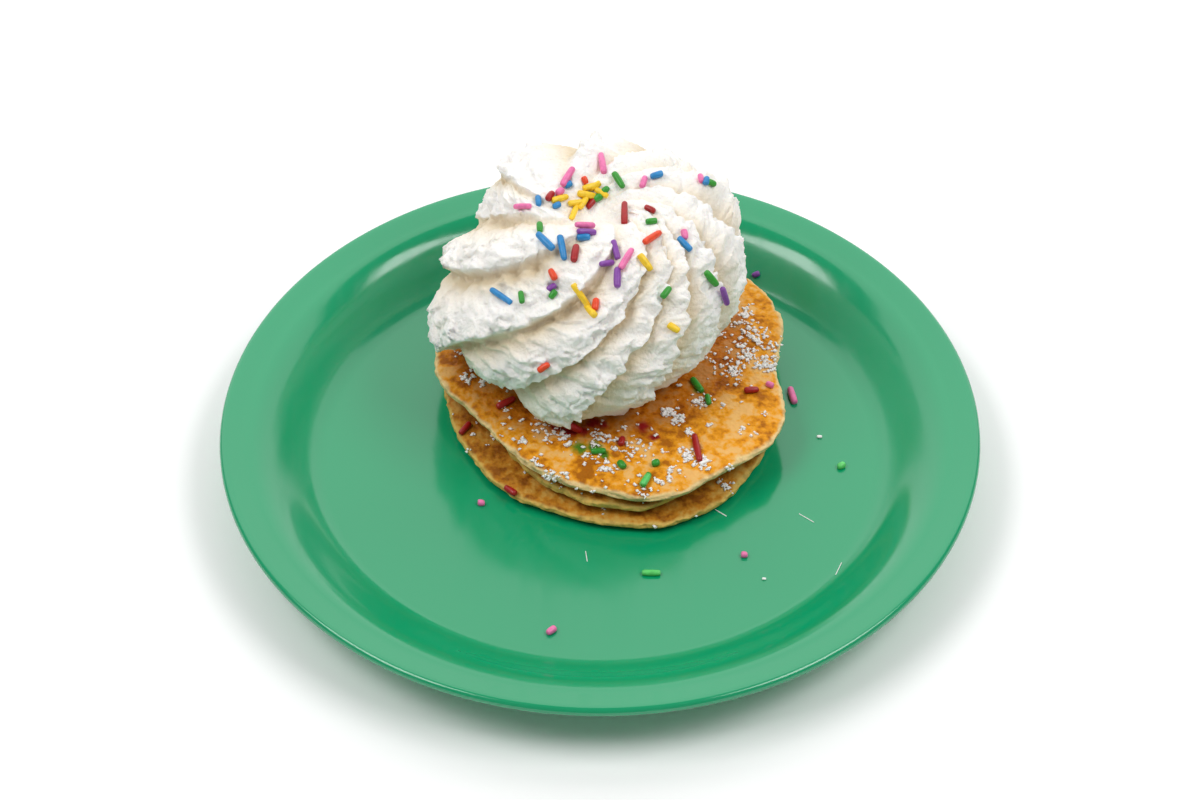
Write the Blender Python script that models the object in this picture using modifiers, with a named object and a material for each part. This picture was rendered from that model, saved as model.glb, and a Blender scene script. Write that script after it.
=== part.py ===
"""A stack of three pancakes with a piped rosette of whipped cream, on a round melamine plate.

Metres, +Z up. The origin is the middle of the plate's foot, on the table, and the front of the
stack faces -Y. Bearings are degrees from +X, counterclockwise seen from above.
"""

import math

import bmesh
import bpy

MM = 0.001
GAP = 0.3 * MM  # clearance kept between neighbouring solids

# Plate: a nine-inch plate with a narrow, almost flat rim and a shallow well.
PLATE_RADIUS = 114.3 * MM
PLATE_STEPS = 64
PLATE_WALL = 3.0 * MM
WELL_FLOOR = 6.0 * MM  # height of the well's upper face
WELL_RADIUS = 83.0 * MM  # where the flat of the well ends
SHOULDER_RADIUS = 106.0 * MM  # where the wall has turned into the rim
SHOULDER_HEIGHT = 18.0 * MM
RIM_HEIGHT = 19.6 * MM  # upper face at the outer edge
WALL_RINGS = 6
LIP_RINGS = 4
FOOT_RADIUS = 75.0 * MM
FOOT_WIDTH = 4.0 * MM
RECESS_HEIGHT = 1.8 * MM  # underside inside the foot ring

# Stack: three pancakes, each a round-edged disc with its own uneven outline.
STACK_CENTRE = (3.0 * MM, 22.0 * MM)
PANCAKE_STEPS = 44
PANCAKE_RINGS = 10
PANCAKE_SQUARENESS = 0.5  # power of the section: 1 is an ellipse, 0 a square edge
EDGE_THICKNESS = 4.4 * MM
MIDDLE_RISE = 0.45 * MM  # how much thicker each pancake is towards the middle

# Each outline is a closed row of (bearing, radius in mm) with a smooth curve between.
TOP_OUTLINE = (
    (-180, 53.8), (-160, 46.8), (-143, 44.2), (-118, 47.0), (-95, 51.2), (-70, 56.8),
    (-55, 54.2), (-32, 57.6), (-14, 55.0), (2, 50.8), (18, 57.0), (36, 60.4),
    (70, 57.5), (110, 56.5), (150, 55.5),
)
MIDDLE_OUTLINE = (
    (-180, 44.0), (-150, 40.5), (-120, 46.0), (-95, 51.6), (-74, 54.2), (-60, 49.5),
    (-44, 44.0), (-15, 46.0), (35, 51.0), (90, 53.0), (140, 50.0),
)
BOTTOM_OUTLINE = (
    (-180, 50.6), (-155, 49.2), (-127, 52.0), (-100, 53.4), (-68, 58.2), (-33, 53.4),
    (10, 52.0), (60, 54.0), (110, 53.0), (150, 52.0),
)

# Whipped cream: one piped swirl whose ridges wind clockwise as they come down.
CREAM_CENTRE = (-2.0 * MM, 37.0 * MM)
RIDGE_COLUMNS = 8  # mesh columns from one ridge to the next
CREAM_RINGS = 26
UNDERSIDE_RINGS = 4
HOLLOW_TURN = 60.0  # degrees that ridges turn from the crown into the hollow at the top
VALLEY_PLACE = 0.24  # share of the way to the next ridge where the valley is deepest
CREST_BREADTH = 1.5  # the climb to the crest ends after 1 / this of its way
VALLEY_STEEPNESS = 0.4  # a valley is never deeper than this share of its width
RIDGE_LEAN = 2.5 * MM  # how far a ridge hangs over the valley beside it
LEAN_RADIUS = 20.0 * MM  # nearer the axis than this, ridges lean less
LIFT_START, LIFT_RUN = 0.4, 0.35  # the climb where a crown's lift begins, and how far it takes
LIFT_END, LIFT_FADE = 0.85, 0.15  # the climb where it begins to fade, and how far that takes

# (three bearings in degrees and three reaches as shares of the section, at a climb of 0, 1/3 and
# 2/3; height above its valley in mm; lift of the crown in mm)
RIDGES = (
    (-238, -190, -134, 1.00, 0.91, 0.98, 6.5, 0.5), (-170, -147, -93, 0.97, 1.02, 1.00, 7.0, -1.0),
    (-150, -110, -62, 0.84, 0.95, 1.00, 7.0, -1.5), (-108, -88, -42, 1.06, 0.96, 0.97, 4.0, -2.0),
    (-72, -64, -34, 0.87, 0.93, 1.00, 5.0, -2.0), (-46, -35, -15, 0.80, 0.84, 1.02, 4.5, -2.0),
    (-10, -2, 7, 0.78, 0.90, 1.05, 4.5, -2.0), (18, 30, 28, 0.82, 0.96, 1.17, 7.0, -1.0),
    (42, 60, 56, 0.92, 0.98, 1.08, 4.5, -1.5), (62, 86, 90, 0.98, 1.00, 1.02, 5.0, 1.0),
    (84, 114, 143, 1.00, 0.97, 1.12, 5.0, -1.0), (102, 140, 176, 1.00, 0.86, 0.76, 4.5, -2.0),
)
# Section through the ridges: (distance from the axis, height above the pancake) in mm.
CREAM_SECTION = (
    (34.0, 0.0), (43.0, 4.0), (48.5, 11.0), (50.5, 19.0), (49.5, 27.0), (45.5, 35.0),
    (39.5, 42.5), (31.5, 49.0), (22.0, 53.0), (12.0, 52.5), (4.5, 48.0), (0.0, 46.0),
)
# Share of its full height that a ridge has, from the foot to the hollow.
RIDGE_GROWTH = (0.5, 0.8, 1.0, 1.0, 1.0, 1.0, 1.0, 0.9, 0.6, 0.35, 0.1, 0.0)


def clear_scene():
    for obj in list(bpy.data.objects):
        bpy.data.objects.remove(obj, do_unlink=True)


def plain_material(name, colour, roughness):
    material = bpy.data.materials.new(name)
    material.use_nodes = True
    shader = material.node_tree.nodes["Principled BSDF"]
    shader.inputs["Base Color"].default_value = (*colour, 1.0)
    shader.inputs["Roughness"].default_value = roughness
    shader.inputs["Metallic"].default_value = 0.0
    material.diffuse_color = (*colour, 1.0)
    return material


def add_object(name, mesh, material, collection):
    obj = bpy.data.objects.new(name, mesh)
    mesh.materials.append(material)
    collection.objects.link(obj)
    return obj


def ease(share):
    """Smooth step from 0 to 1, level at both ends."""
    return share * share * (3.0 - 2.0 * share)


def mix(a, b, share):
    return a + (b - a) * share


def cubic(before, start, end, after, share):
    """Catmull-Rom curve from start to end."""
    slope = (end - before) / 2.0
    last_slope = (after - start) / 2.0
    rise = end - start
    return (
        start
        + slope * share
        + (3.0 * rise - 2.0 * slope - last_slope) * share**2
        + (slope + last_slope - 2.0 * rise) * share**3
    )


def along(values, share):
    """A smooth curve through evenly spaced values, read at share 0 to 1."""
    place = min(max(share, 0.0), 1.0) * (len(values) - 1)
    index = min(int(place), len(values) - 2)
    before = values[max(index - 1, 0)]
    after = values[min(index + 2, len(values) - 1)]
    return cubic(before, values[index], values[index + 1], after, place - index)


def outline_radius(outline, bearing):
    """Radius of a closed outline at a bearing, on a smooth curve through its rows."""
    count = len(outline)
    turn = (bearing - outline[0][0]) % 360.0 + outline[0][0]
    bearings = [row[0] for row in outline] + [outline[0][0] + 360.0]
    index = max(i for i in range(count) if bearings[i] <= turn)
    share = (turn - bearings[index]) / (bearings[index + 1] - bearings[index])
    radii = [outline[(index + step) % count][1] * MM for step in (-1, 0, 1, 2)]
    return cubic(*radii, share)


def plate_top(radius):
    """Height of the plate's upper face."""
    if radius <= WELL_RADIUS:
        return WELL_FLOOR
    if radius <= SHOULDER_RADIUS:
        share = (radius - WELL_RADIUS) / (SHOULDER_RADIUS - WELL_RADIUS)
        return mix(WELL_FLOOR, SHOULDER_HEIGHT, ease(share))
    share = (radius - SHOULDER_RADIUS) / (PLATE_RADIUS - SHOULDER_RADIUS)
    return mix(SHOULDER_HEIGHT, RIM_HEIGHT, share)


def plate_profile():
    """Half section from the middle of the well over the rim to the middle of the underside."""
    lip = PLATE_WALL / 2.0
    rim_end = PLATE_RADIUS - lip
    points = [(0.0, WELL_FLOOR)]
    wall = [mix(WELL_RADIUS, SHOULDER_RADIUS, i / WALL_RINGS) for i in range(WALL_RINGS + 1)]
    points += [(r, plate_top(r)) for r in wall]
    for i in range(LIP_RINGS + 1):
        angle = math.radians(90.0 - 180.0 * i / LIP_RINGS)
        height = plate_top(rim_end) - lip + lip * math.sin(angle)
        points.append((rim_end + lip * math.cos(angle), height))
    points += [(r + 0.4 * MM, plate_top(r) - PLATE_WALL) for r in reversed(wall[1:])]
    points += [
        (FOOT_RADIUS + 1.0 * MM, WELL_FLOOR - PLATE_WALL),
        (FOOT_RADIUS, 0.0),
        (FOOT_RADIUS - FOOT_WIDTH, 0.0),
        (FOOT_RADIUS - FOOT_WIDTH - 1.0 * MM, RECESS_HEIGHT),
        (0.0, RECESS_HEIGHT),
    ]
    return points


def build_plate(collection):
    points = plate_profile()
    mesh = bpy.data.meshes.new("plate")
    edges = [(i, i + 1) for i in range(len(points) - 1)]
    mesh.from_pydata([(r, 0.0, z) for r, z in points], edges, [])
    plate = add_object(
        "plate", mesh, plain_material("moulded_melamine", (0.03, 0.40, 0.21), 0.2), collection
    )
    screw = plate.modifiers.new("turn", "SCREW")
    screw.axis = "Z"
    screw.steps = PLATE_STEPS
    screw.render_steps = PLATE_STEPS
    screw.use_merge_vertices = True
    screw.merge_threshold = 0.00001
    screw.use_smooth_shade = True
    return plate


def build_pancake(name, layer, outline, colour, collection):
    """A round-edged disc between its layer's lower and upper faces."""
    bm = bmesh.new()
    bmesh.ops.create_uvsphere(
        bm, u_segments=PANCAKE_STEPS, v_segments=PANCAKE_RINGS, radius=1.0
    )
    pitch = EDGE_THICKNESS + GAP
    for vert in bm.verts:
        level = min(1.0, math.hypot(vert.co.x, vert.co.y))
        bearing = math.degrees(math.atan2(vert.co.y, vert.co.x))
        reach = level**PANCAKE_SQUARENESS
        side = math.copysign(abs(vert.co.z) ** PANCAKE_SQUARENESS, vert.co.z)
        radius = reach * outline_radius(outline, bearing)
        inward = 1.0 - ease(min(1.0, radius / (45.0 * MM)))
        rise = MIDDLE_RISE * inward
        bottom = WELL_FLOOR + GAP + layer * (pitch + rise)
        top = bottom + EDGE_THICKNESS + rise
        vert.co.x = STACK_CENTRE[0] + radius * math.cos(math.radians(bearing))
        vert.co.y = STACK_CENTRE[1] + radius * math.sin(math.radians(bearing))
        vert.co.z = (bottom + top) / 2.0 + side * (top - bottom) / 2.0
    mesh = bpy.data.meshes.new(name)
    bm.to_mesh(mesh)
    bm.free()
    mesh.shade_smooth()
    return add_object(name, mesh, plain_material(name + "_batter", colour, 0.7), collection)


def stack_top():
    """Height of the top pancake's upper face under the cream."""
    return WELL_FLOOR + 3.0 * (GAP + EDGE_THICKNESS + MIDDLE_RISE)


def ridge_height(phase):
    """0 in the valley and 1 on the ridge: a steep drop after a ridge, then a climb to a broad crest."""
    if phase < VALLEY_PLACE:
        return 0.5 + 0.5 * math.cos(math.pi * phase / VALLEY_PLACE)
    share = (phase - VALLEY_PLACE) / (1.0 - VALLEY_PLACE)
    return math.sin(min(share * CREST_BREADTH, 1.0) * math.pi / 2.0)


def section_point(climb, sink):
    """(distance from the axis, height) on the section, sunk along its normal."""
    radii = [r * MM for r, _ in CREAM_SECTION]
    heights = [z * MM for _, z in CREAM_SECTION]
    step = 0.01
    low, high = max(climb - step, 0.0), min(climb + step, 1.0)
    run = along(radii, high) - along(radii, low)
    rise = along(heights, high) - along(heights, low)
    length = math.hypot(run, rise)
    radius = along(radii, climb) - sink * rise / length
    height = along(heights, climb) + sink * run / length
    return max(radius, 0.0), max(height, 0.0)


def smooth_step(value, start, run):
    """0 before the start and 1 once the run is over."""
    return ease(min(1.0, max(0.0, (value - start) / run)))


def ridge_at(ridge, climb):
    """(bearing, reach) of one row of RIDGES at a climb."""
    foot, shoulder, crown, foot_reach, shoulder_reach, crown_reach = ridge[:6]
    bearing = along((foot, shoulder, crown, crown + HOLLOW_TURN), climb)
    return bearing, along((foot_reach, shoulder_reach, crown_reach, 1.0), climb)


def cream_point(turn, climb):
    """A point on the swirl: turn 0 to 1 counts round the ridges, climb 0 to 1 up from the foot."""
    place = turn * len(RIDGES)
    index = int(place) % len(RIDGES)
    phase = place - int(place)
    before, after = RIDGES[index], RIDGES[(index + 1) % len(RIDGES)]
    bearing, reach = ridge_at(before, climb)
    next_bearing, next_reach = ridge_at(after, climb)
    next_bearing += 360.0 if next_bearing < bearing else 0.0
    ridge = ridge_height(phase)
    growth = along(RIDGE_GROWTH, climb)
    width = math.radians(next_bearing - bearing) * section_point(climb, 0.0)[0]
    height = mix(before[6], after[6], ease(phase)) * MM
    depth = min(height, VALLEY_STEEPNESS * width) * growth
    radius, rise = section_point(climb, depth * (1.0 - ridge))
    radius *= mix(reach, next_reach, ease(phase))
    lift = mix(before[7], after[7], ease(phase)) * MM
    rise += lift * smooth_step(climb, LIFT_START, LIFT_RUN) * (1.0 - smooth_step(climb, LIFT_END, LIFT_FADE))
    lean = math.degrees(RIDGE_LEAN * growth * ridge**2 / max(radius, LEAN_RADIUS))
    return radius, math.radians(mix(bearing, next_bearing, phase) + lean), rise


def build_cream(collection):
    bm = bmesh.new()
    bmesh.ops.create_uvsphere(
        bm, u_segments=RIDGE_COLUMNS * len(RIDGES), v_segments=CREAM_RINGS, radius=1.0
    )
    base = stack_top() + GAP
    outside = 1.0 - UNDERSIDE_RINGS / CREAM_RINGS
    for vert in bm.verts:
        turn = math.atan2(vert.co.y, vert.co.x) / math.tau % 1.0
        fall = math.acos(max(-1.0, min(1.0, vert.co.z))) / math.pi
        if fall <= outside:
            radius, angle, rise = cream_point(turn, 1.0 - fall / outside)
        else:
            radius, angle, rise = cream_point(turn, 0.0)
            radius *= (1.0 - fall) / (1.0 - outside)
        vert.co.x = CREAM_CENTRE[0] + radius * math.cos(angle)
        vert.co.y = CREAM_CENTRE[1] + radius * math.sin(angle)
        vert.co.z = base + rise
    mesh = bpy.data.meshes.new("whipped_cream")
    bm.to_mesh(mesh)
    bm.free()
    mesh.shade_smooth()
    return add_object(
        "whipped_cream", mesh, plain_material("whipped_cream", (0.90, 0.88, 0.84), 0.5), collection
    )


def main():
    clear_scene()
    collection = bpy.data.collections.new("pancake_stack")
    bpy.context.scene.collection.children.link(collection)
    build_plate(collection)
    build_pancake("pancake_bottom", 0, BOTTOM_OUTLINE, (0.62, 0.40, 0.14), collection)
    build_pancake("pancake_middle", 1, MIDDLE_OUTLINE, (0.62, 0.40, 0.14), collection)
    build_pancake("pancake_top", 2, TOP_OUTLINE, (0.64, 0.33, 0.09), collection)
    build_cream(collection)


main()
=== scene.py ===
"""Looks for a stack of three pancakes with whipped cream and sprinkles on a melamine plate.

It is laid out as a Blender add-on and run as a script. Metres, +Z up; the origin is the middle of
the plate's foot and the stack's open front faces -Y. Bearings are degrees from +X,
counterclockwise seen from above.
"""

import math
import random

import bpy
import numpy as np
from bpy.props import FloatProperty, FloatVectorProperty, IntProperty, PointerProperty
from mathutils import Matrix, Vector
from mathutils.bvhtree import BVHTree


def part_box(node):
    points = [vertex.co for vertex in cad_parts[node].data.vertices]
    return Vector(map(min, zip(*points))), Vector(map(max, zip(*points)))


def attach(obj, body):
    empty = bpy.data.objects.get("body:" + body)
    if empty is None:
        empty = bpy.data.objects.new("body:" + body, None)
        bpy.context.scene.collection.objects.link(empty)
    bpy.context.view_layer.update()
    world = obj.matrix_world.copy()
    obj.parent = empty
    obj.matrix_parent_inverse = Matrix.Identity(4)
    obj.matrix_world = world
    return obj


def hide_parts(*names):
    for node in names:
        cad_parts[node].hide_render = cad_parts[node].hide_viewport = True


bl_info = {
    "name": "Pancake stack looks",
    "version": (1, 0, 0),
    "blender": (4, 5, 0),
    "location": "3D View > Sidebar > Pancakes",
    "description": "Makes the plate, pancakes, whipped cream, sprinkles and sugar",
    "category": "Object",
}

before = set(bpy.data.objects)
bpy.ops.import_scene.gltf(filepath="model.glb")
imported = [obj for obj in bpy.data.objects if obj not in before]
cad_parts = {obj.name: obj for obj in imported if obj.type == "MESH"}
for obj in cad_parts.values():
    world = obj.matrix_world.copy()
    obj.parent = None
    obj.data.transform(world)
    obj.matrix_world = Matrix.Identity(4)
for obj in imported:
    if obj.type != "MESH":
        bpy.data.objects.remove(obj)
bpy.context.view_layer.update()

MM = 0.001
_, PLATE_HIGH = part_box("plate")
BOTTOM_LOW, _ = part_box("pancake_bottom")
CREAM_LOW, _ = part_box("whipped_cream")

# Plate section, in metres; the outer radius and the well's floor come from the frame.
PLATE_RADIUS = PLATE_HIGH.x
PLATE_WALL = 3.0 * MM
WELL_FLOOR = BOTTOM_LOW.z - 0.3 * MM  # the lowest pancake lies 0.3 mm clear of the well
WELL_RADIUS = 83.0 * MM
SHOULDER_RADIUS = 106.0 * MM
SHOULDER_HEIGHT = 18.0 * MM
RIM_HEIGHT = 19.6 * MM
FOOT_RADIUS = 75.0 * MM
FOOT_WIDTH = 4.0 * MM
RECESS_HEIGHT = 1.8 * MM

# Pancakes: the edge is this thick; outlines are read from the frame's solids.
EDGE_THICKNESS = 4.4 * MM
PANCAKE_CENTRE = Vector((3.0 * MM, 22.0 * MM))
RIM_SPAN = 0.053  # metres from the middle to the edge, for the ripples' spacing
DOME_RADIUS = 45.0 * MM  # the face rises from here inward
DAMP_AND_SHADE_RADIUS = 42.0 * MM  # upper faces are darkened out to here from the cream's axis, partly as dampness and partly as painted shade from the cream, then fade
DAMP_AND_SHADE_FADE = 10.0 * MM
BUMP_PLACE = Vector((43.0 * MM, 43.0 * MM))
BUMP_RADIUS = 4.5 * MM
BUMP_HEIGHT = 1.4 * MM

# Whipped cream: ridges wind clockwise as they come down round the axis.
CREAM_AXIS = Vector((-2.0 * MM, 37.0 * MM))
HOLLOW_TURN = 60.0  # degrees that ridges turn from the crown into the hollow at the top
# (three bearings and three reaches, at a climb of 0, 1/3 and 2/3, as degrees and as shares of the
# section; height over its valley in mm; lift of the crown in mm)
RIDGES = (
    (-238, -190, -134, 1.00, 0.91, 0.98, 6.5, 0.5), (-170, -147, -93, 0.97, 1.02, 1.00, 7.0, -1.0),
    (-150, -110, -62, 0.84, 0.95, 1.00, 7.0, -1.5), (-108, -88, -42, 1.06, 0.96, 0.97, 4.0, -2.0),
    (-72, -64, -34, 0.87, 0.93, 1.00, 5.0, -2.0), (-46, -35, -15, 0.80, 0.84, 1.02, 4.5, -2.0),
    (-10, -2, 7, 0.78, 0.90, 1.05, 4.5, -2.0), (18, 30, 28, 0.82, 0.96, 1.17, 7.0, -1.0),
    (42, 60, 56, 0.92, 0.98, 1.08, 4.5, -1.5), (62, 86, 90, 0.98, 1.00, 1.02, 5.0, 1.0),
    (84, 114, 143, 1.00, 0.97, 1.12, 5.0, -1.0), (102, 140, 176, 1.00, 0.86, 0.76, 4.5, -2.0),
)
# Section through the ridges: (distance from the axis, height over the pancake) in mm.
CREAM_SECTION = (
    (34.0, 0.0), (43.0, 4.0), (48.5, 11.0), (50.5, 19.0), (49.5, 27.0), (45.5, 35.0),
    (39.5, 42.5), (31.5, 49.0), (22.0, 53.0), (12.0, 52.5), (4.5, 48.0), (0.0, 46.0),
)
RIDGE_GROWTH = (0.5, 0.8, 1.0, 1.0, 1.0, 1.0, 1.0, 0.9, 0.6, 0.35, 0.1, 0.0)
RIDGE_VALLEY = 0.24  # share of the way from ridge to ridge that the steep drop takes
CREAM_OUTSIDE = 0.94  # share of the mesh's rings that shows; the rest closes the underside
CREAM_SINK = 0.4 * MM  # the swirl's foot lies this far below its solid's

# Toppings are laid out on a sheet that leans back 45 degrees over the stack, as seen from its front:
# millimetres across (+X) and up the sheet. Each is thrown square to the sheet onto what is there.
SHEET_UP = Vector((0.0, math.sqrt(0.5), math.sqrt(0.5)))
THROW = Vector((0.0, math.sqrt(0.5), -math.sqrt(0.5)))
THROW_LENGTH = 0.5  # metres in front of the sheet that a throw starts
SPRINKLE_RADIUS = 1.05 * MM

# For each colour of sprinkle, (across, up, turn in degrees, length in mm).
SPRINKLES = {
    "pink": (
        (0.5, 91, 100, 6.5), (-9, 86.5, 60, 6.5), (13, 85, 75, 3.5), (30.5, 86, 100, 2.5),
        (-22.5, 77.5, 180, 5), (8, 60.5, 60, 7), (25, 68.5, 95, 3), (-4.5, 70.5, 180, 5.5),
        (-12, 81.5, 30, 2.5), (51.5, 24, 160, 2.5), (59.5, 21, 105, 5), (-35.5, -11.5, 0, 2),
        (42.5, -26.5, 0, 1.5), (-14, -47.5, 30, 3),
    ),
    "purple": (
        (1.5, 60, 10, 4), (4.5, 63, 105, 6), (5.5, 55, 90, 6), (-14, 53, 35, 3),
        (36.5, 50.5, 110, 5), (50, 60.5, 20, 2.5), (-4.5, 69, 180, 5.5),
    ),
    "blue": (
        (17, 87, 15, 4), (-18.5, 78.5, 95, 3), (-4.5, 67, 180, 4), (25, 65.5, 135, 5.5),
        (-16, 65.5, 135, 7), (-11.5, 64.5, 100, 7.5), (-29, 49.5, 145, 7.5), (-13, 77.5, 20, 2.5),
        (-9.5, 84, 30, 2.5), (31.5, 85.5, 80, 2.5),
    ),
    "green": (
        (5.5, 85.5, 120, 5.5), (33, 85, 160, 3), (-0.5, 80, 25, 3), (15, 72, 5, 3.5),
        (-17.5, 70, 90, 3), (33, 55.5, 130, 5.5), (19.5, 51, 55, 4), (-13.5, 50, 50, 3),
        (-23, 49, 100, 3.5), (2, 82.5, 45, 2.5), (13.5, -4.5, 60, 4.5), (-0.5, 4, 5, 4.5),
        (29.5, 24, 125, 5), (32.5, 19.5, 100, 3),
        (6.5, 0, 130, 2.5), (16.5, 0.5, 10, 2.5),
    ),
    # Some green sprinkles take a lighter green as a painted highlight.
    "lime": ((15, -31.5, 0, 5.5), (73, -0.5, 20, 2.5), (13.5, -4.5, 60, 4)),
    "yellow": (
        (-3, 83.5, 20, 4.5), (0.5, 81.5, 150, 4.5), (-12, 79.5, 20, 5), (-8, 75.5, 70, 5),
        (-5.5, 78.5, 60, 4), (13, 60, 125, 6), (-6, 50, 125, 9), (-2.5, 45, 130, 4.5),
        (21.5, 41, 145, 4), (-4.5, 81, 170, 5.5), (-7.5, 78.5, 10, 4.5), (-1.5, 84, 30, 4),
    ),
    "orange": (
        (15.5, 67, 35, 6), (-13.5, 56.5, 120, 3.5), (-1, 47.5, 85, 3.5), (-16, 29, 35, 4),
        (-5, 85.5, 115, 2.5),
    ),
    "red": (
        (-2.5, 78.5, 50, 4), (-15, 80.5, 60, 3), (15, 76, 155, 3.5), (7.5, 74.5, 90, 7),
        (-7, 62, 80, 5), (-41, 11, 50, 4.5), (46, 22.5, 5, 4.5), (6.5, 7, 80, 2.5),
        (-28.5, 18.5, 30, 6), (29, 5, 100, 8), (-26.5, -7.5, 150, 4), (-7.5, 11, 150, 4),
    ),
}
# The lighter green stands for green sprinkles with a painted highlight.
SPRINKLE_COLOURS = {
    "pink": "f57cb4", "purple": "8a4aa8", "blue": "2b8bcb", "green": "339a2e", "lime": "62d66e",
    "yellow": "ffd42e", "orange": "ee4a1e", "red": "ab1619",
}
# Where dye has run into the top pancake: (x, y, radius) in mm.
RED_STAINS = (
    (-13, -4, 2.2), (-9, -6, 2.4), (-5, -5.5, 2.0), (-2, -2.5, 2.2), (1, -3.5, 1.8), (13, -4, 2.4),
    (16, -8, 2.0), (6.5, -10.5, 1.6), (29, -12.5, 1.4),
)
GREEN_STAINS = ((-6, -12.5, 2.6), (-1.5, -12, 2.2), (1.5, -15.5, 1.6), (30, 12, 1.4))

# Powdered sugar: (across, up, spread in mm, grains) on the same sheet.
SUGAR_PATCHES = (
    (-39.5, 26.5, 2.2, 26), (-36, 25.5, 1.4, 12), (-28, 17, 1.8, 12), (-16.5, 12.5, 4.0, 50),
    (-12, 8, 3.4, 36), (0, 8, 3.2, 36), (-3, 3, 3.2, 24), (8.5, 5, 4.2, 44), (20.5, 16, 1.6, 34),
    (23, 14, 1.8, 34), (30, 20, 2.6, 44), (26.5, 10, 1.2, 16), (25.5, 3.5, 2.6, 50),
    (30.5, 0.5, 2.4, 50), (37, 18.5, 1.4, 8), (43.5, 11, 2.4, 12), (49.5, 15.5, 1.2, 6),
    (-13.5, -3, 2.8, 36), (-20, 1.5, 2.0, 14), (2, -0.5, 2.6, 16), (21.5, -2.5, 2.6, 22),
    (17.5, -4.5, 1.6, 12), (12.5, -8, 1.5, 10), (44, 46, 4.0, 60), (48, 40, 4.0, 60),
    (53, 36, 3.0, 34), (46, 33, 3.6, 60), (41, 28.5, 2.8, 44), (50.5, 30.5, 2.8, 44),
    (37.5, -6, 2.2, 22), (39.5, -1, 1.6, 8), (-43, 34, 2.0, 10), (8, 6, 24, 130), (44, 34, 11, 110),
    (-28, 13, 12, 50),
)
# White crumbs and threads on the plate: (across, up, turn, length, radius in mm).
CRUMBS = (
    (67, 8.5, 0, 1.6, 0.5), (48, -33, 0, 1.2, 0.4), (31, 1, 20, 3.0, 0.5), (-4, -26.5, 100, 3.0, 0.12),
    (36, -14, 150, 4.0, 0.15), (61.5, -15.5, 150, 5.0, 0.12), (70, -30, 60, 4.0, 0.12),
)

# Camera and lights: metres, and millimetres for the lens and its sensor.
LENS = 99.1
SENSOR_WIDTH = 36.0
CAMERA_TARGET = Vector((0.0, 8.1 * MM, 20.0 * MM))
LIGHT_TARGET = (0.0, 0.02, 0.03)
BACK_WALL_PLACE = (0.0, 2.0, 1.4)
BACK_WALL_SIZE = (5.0, 2.8)
SOFTBOX_PLACE = (0.83, -0.2, 1.26)
SOFTBOX_SIZE = (0.85, 0.62)
FLOOR_SIZE = 6.0


# ---------------------------------------------------------------- numbers and curves


def srgb(code):
    """Linear colour from an sRGB hex code such as "3fa57a"."""
    values = [int(code[i : i + 2], 16) / 255.0 for i in (0, 2, 4)]
    return tuple(v / 12.92 if v <= 0.04045 else ((v + 0.055) / 1.055) ** 2.4 for v in values)


def ease(share):
    """Smooth step from 0 to 1; takes numbers and arrays."""
    share = np.clip(share, 0.0, 1.0)
    return share * share * (3.0 - 2.0 * share)


def mix(a, b, share):
    return a + (b - a) * share


def cubic(before, start, end, after, share):
    """Catmull-Rom curve from start to end."""
    slope = (end - before) / 2.0
    last_slope = (after - start) / 2.0
    rise = end - start
    return (
        start
        + slope * share
        + (3.0 * rise - 2.0 * slope - last_slope) * share**2
        + (slope + last_slope - 2.0 * rise) * share**3
    )


def along(values, share):
    """A smooth curve through evenly spaced values, read at an array of shares from 0 to 1."""
    values = np.asarray(values, float)
    place = np.clip(share, 0.0, 1.0) * (len(values) - 1)
    index = np.minimum(place.astype(int), len(values) - 2)
    before = values[np.maximum(index - 1, 0)]
    after = values[np.minimum(index + 2, len(values) - 1)]
    return cubic(before, values[index], values[index + 1], after, place - index)


def curve_through(values, share):
    """A smooth curve through a few evenly spaced arrays of values, read at each share from 0 to 1."""
    place = np.clip(share, 0.0, 1.0) * (len(values) - 1)
    index = np.minimum(place.astype(int), len(values) - 2)
    rows = np.stack(values)
    point = np.arange(len(share))
    before = rows[np.maximum(index - 1, 0), point]
    after = rows[np.minimum(index + 2, len(values) - 1), point]
    return cubic(before, rows[index, point], rows[index + 1, point], after, place - index)


def hashed(cells, salt):
    """A fixed value from -1 to 1 for each whole-number cell."""
    mixed = cells[..., 0] * 374761393 + cells[..., 1] * 668265263 + cells[..., 2] * 1440670441
    mixed = (mixed + salt * 1274126177) & 0xFFFFFFFF
    mixed = ((mixed ^ (mixed >> 13)) * 1274126177) & 0xFFFFFFFF
    mixed = ((mixed ^ (mixed >> 15)) * 2246822519) & 0xFFFFFFFF
    return ((mixed >> 8) & 0xFFFF) / 32767.5 - 1.0


def gradient_noise(points):
    """Smooth noise of about -1 to 1, with lumps about one unit across."""
    cell = np.floor(points).astype(np.int64)
    local = points - cell
    fade = local**3 * (local * (local * 6.0 - 15.0) + 10.0)
    total = np.zeros(len(points))
    for corner in np.ndindex(2, 2, 2):
        offset = local - corner
        pull = sum(hashed(cell + corner, axis + 1) * offset[:, axis] for axis in range(3))
        total += pull * np.prod(np.where(corner, fade, 1.0 - fade), axis=1)
    return total * 1.5


def fractal(points, size, octaves=3):
    """Layers of smooth noise at each point; the broadest lumps have the given size."""
    points = np.asarray(points, float) / size
    layers = [gradient_noise(points * 2.1**k + 17.3 * k) * 0.55**k for k in range(octaves)]
    return sum(layers)


# ---------------------------------------------------------------- meshes and materials


def link_object(name, mesh, material):
    obj = bpy.data.objects.new(name, mesh)
    mesh.materials.append(material)
    bpy.context.scene.collection.objects.link(obj)
    return obj


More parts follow.
